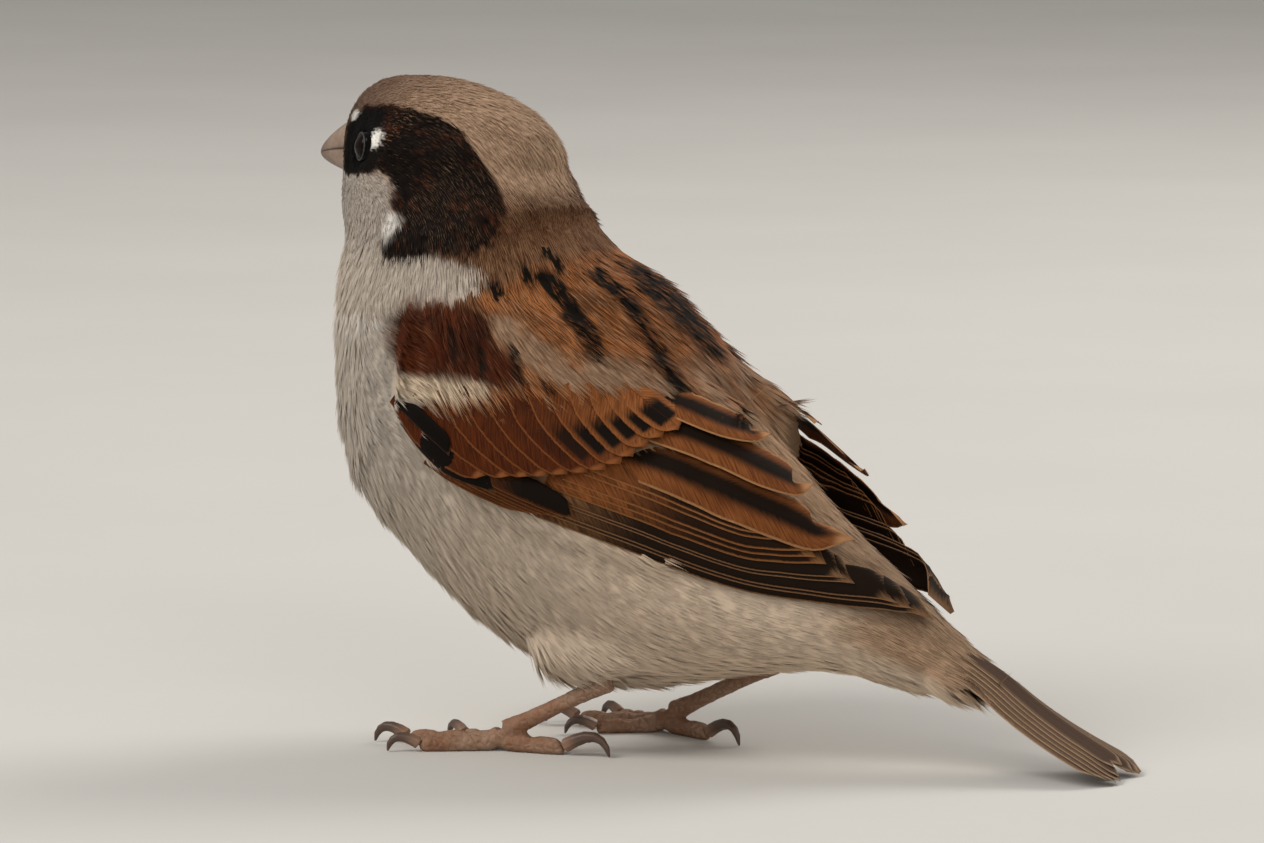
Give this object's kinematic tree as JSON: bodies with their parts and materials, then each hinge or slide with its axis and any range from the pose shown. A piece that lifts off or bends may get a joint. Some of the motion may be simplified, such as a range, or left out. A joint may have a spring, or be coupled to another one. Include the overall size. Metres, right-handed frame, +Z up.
{
  "type": "male house sparrow, still life-size model",
  "caption": "Standing male house sparrow with its head turned aside, wings folded and tail laid back, as a still life-size model.",
  "frame": {"origin": "middle of the bird's bounding box, at floor level", "axes": "bill towards -X, tail towards +X, bird's right +Y, +Z up"},
  "size_m": [0.1268, 0.0478, 0.09],
  "materials": {
    "plumage_head": "soft matt feathers, grey crown and dark chestnut sides",
    "plumage_neck": "soft matt feathers, pale at the throat and brown on the nape",
    "plumage_trunk": "soft matt feathers, pale grey-buff below and streaked brown on the back",
    "wing_coverts": "smooth matt chestnut feathers with a white bar",
    "flight_feathers": "smooth dark vanes with buff and chestnut edges",
    "tail_feathers": "smooth grey-brown vanes with pale edges",
    "bill_horn": "satin horn, pinkish with a darker tip",
    "eye_surface": "wet-looking, almost black",
    "leg_scales": "matt pinkish-brown scaly skin",
    "claw_horn": "satin dark horn"
  },
  "bodies": {
    "root": {"bill_lower": "bill_horn", "bill_upper": "bill_horn", "claw_hallux_left": "claw_horn", "claw_hallux_right": "claw_horn", "claw_inner_left": "claw_horn", "claw_inner_right": "claw_horn", "claw_middle_left": "claw_horn", "claw_middle_right": "claw_horn", "claw_outer_left": "claw_horn", "claw_outer_right": "claw_horn", "eye_left": "eye_surface", "eye_right": "eye_surface", "foot_left": "leg_scales", "foot_right": "leg_scales", "head": "plumage_head", "neck": "plumage_neck", "tail": "tail_feathers", "tarsus_left": "leg_scales", "tarsus_right": "leg_scales", "thigh_left": "plumage_trunk", "thigh_right": "plumage_trunk", "trunk": "plumage_trunk", "wing_coverts_left": "wing_coverts", "wing_coverts_right": "wing_coverts", "wing_primaries_left": "flight_feathers", "wing_primaries_right": "flight_feathers", "wing_secondaries_left": "flight_feathers", "wing_secondaries_right": "flight_feathers"}
  },
  "joints": []
}
